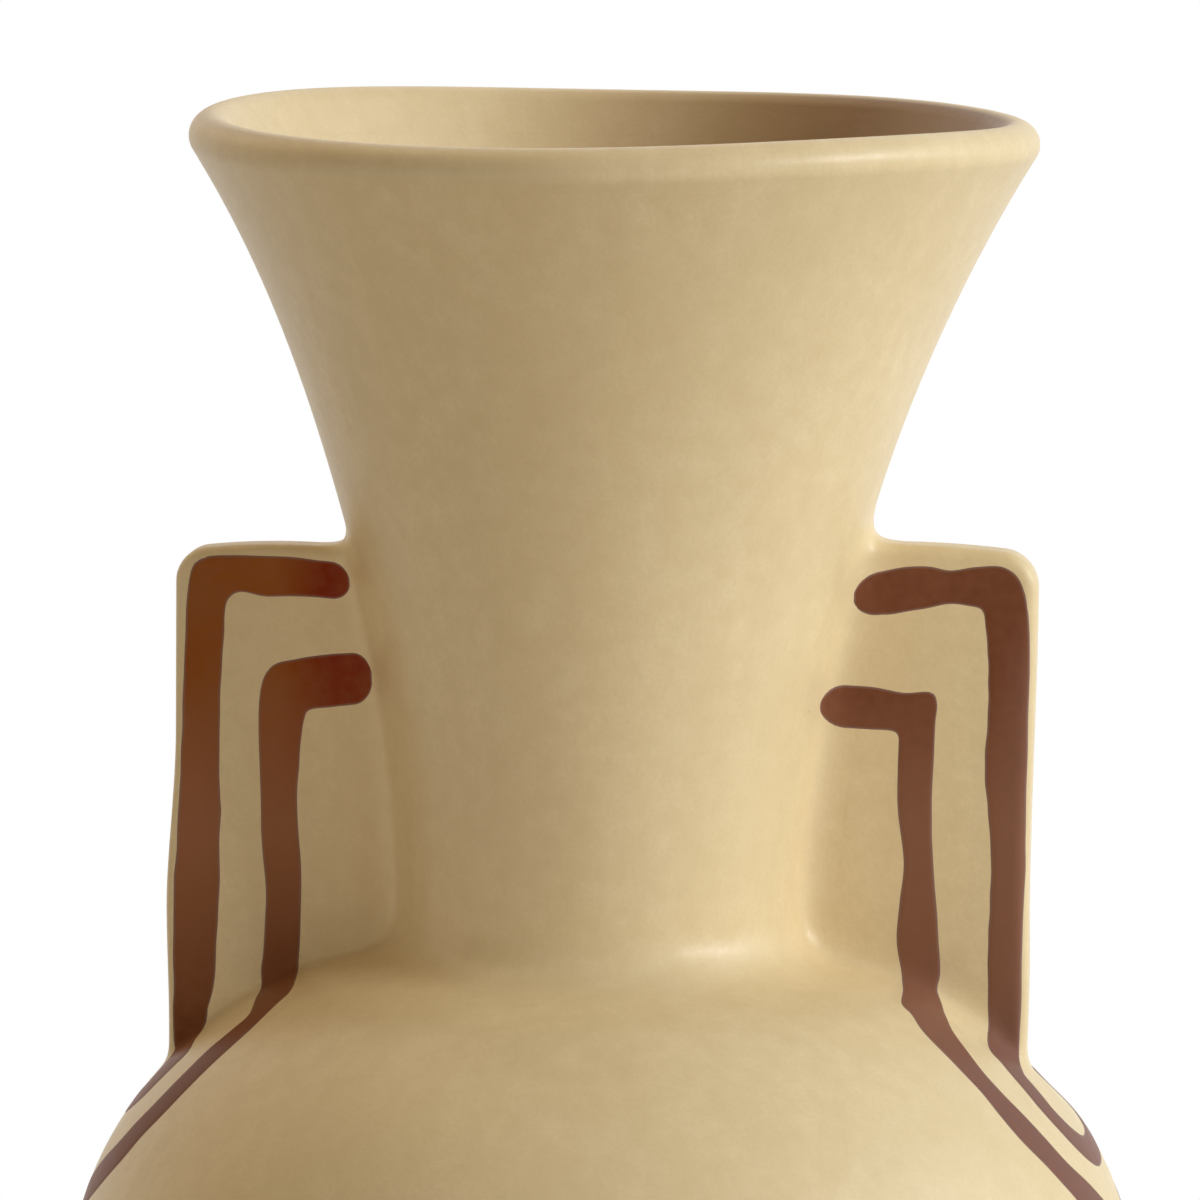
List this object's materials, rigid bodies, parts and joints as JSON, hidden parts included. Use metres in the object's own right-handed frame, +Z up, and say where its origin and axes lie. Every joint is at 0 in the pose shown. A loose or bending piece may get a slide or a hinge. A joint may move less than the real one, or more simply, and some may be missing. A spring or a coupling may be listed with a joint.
{
  "type": "ceramic vase",
  "caption": "Round-bellied glazed ceramic vase with a flared neck, a rolled rim, flat slab handles from neck to shoulder and brushed brown stripes; stands on a turned foot ring.",
  "frame": {"origin": "centre of the foot ring's underside", "axes": "+Z up along the vessel's axis, the handles out along +X and -X, the pictured side towards -Y"},
  "size_m": [0.1808, 0.1808, 0.305],
  "materials": {
    "cream_glaze": "satin cream glaze over stoneware",
    "brown_glaze": "brushed iron-brown glaze"
  },
  "bodies": {
    "root": {"foot_ring": "cream_glaze", "lower_bowl": "cream_glaze", "shoulder_dome": "cream_glaze", "neck_tube": "cream_glaze", "flared_collar": "cream_glaze", "rim_coil": "cream_glaze", "handle_left": "cream_glaze", "handle_right": "cream_glaze", "luting_coil_left_front": "cream_glaze", "luting_coil_left_back": "cream_glaze", "luting_coil_right_front": "cream_glaze", "luting_coil_right_back": "cream_glaze", "band_outer_left_front": "brown_glaze", "band_inner_left_front": "brown_glaze", "band_outer_left_back": "brown_glaze", "band_inner_left_back": "brown_glaze", "band_outer_right_front": "brown_glaze", "band_inner_right_front": "brown_glaze", "band_outer_right_back": "brown_glaze", "band_inner_right_back": "brown_glaze", "stripe_outer_left": "brown_glaze", "stripe_inner_left": "brown_glaze", "stripe_outer_right": "brown_glaze", "stripe_inner_right": "brown_glaze"}
  },
  "joints": []
}
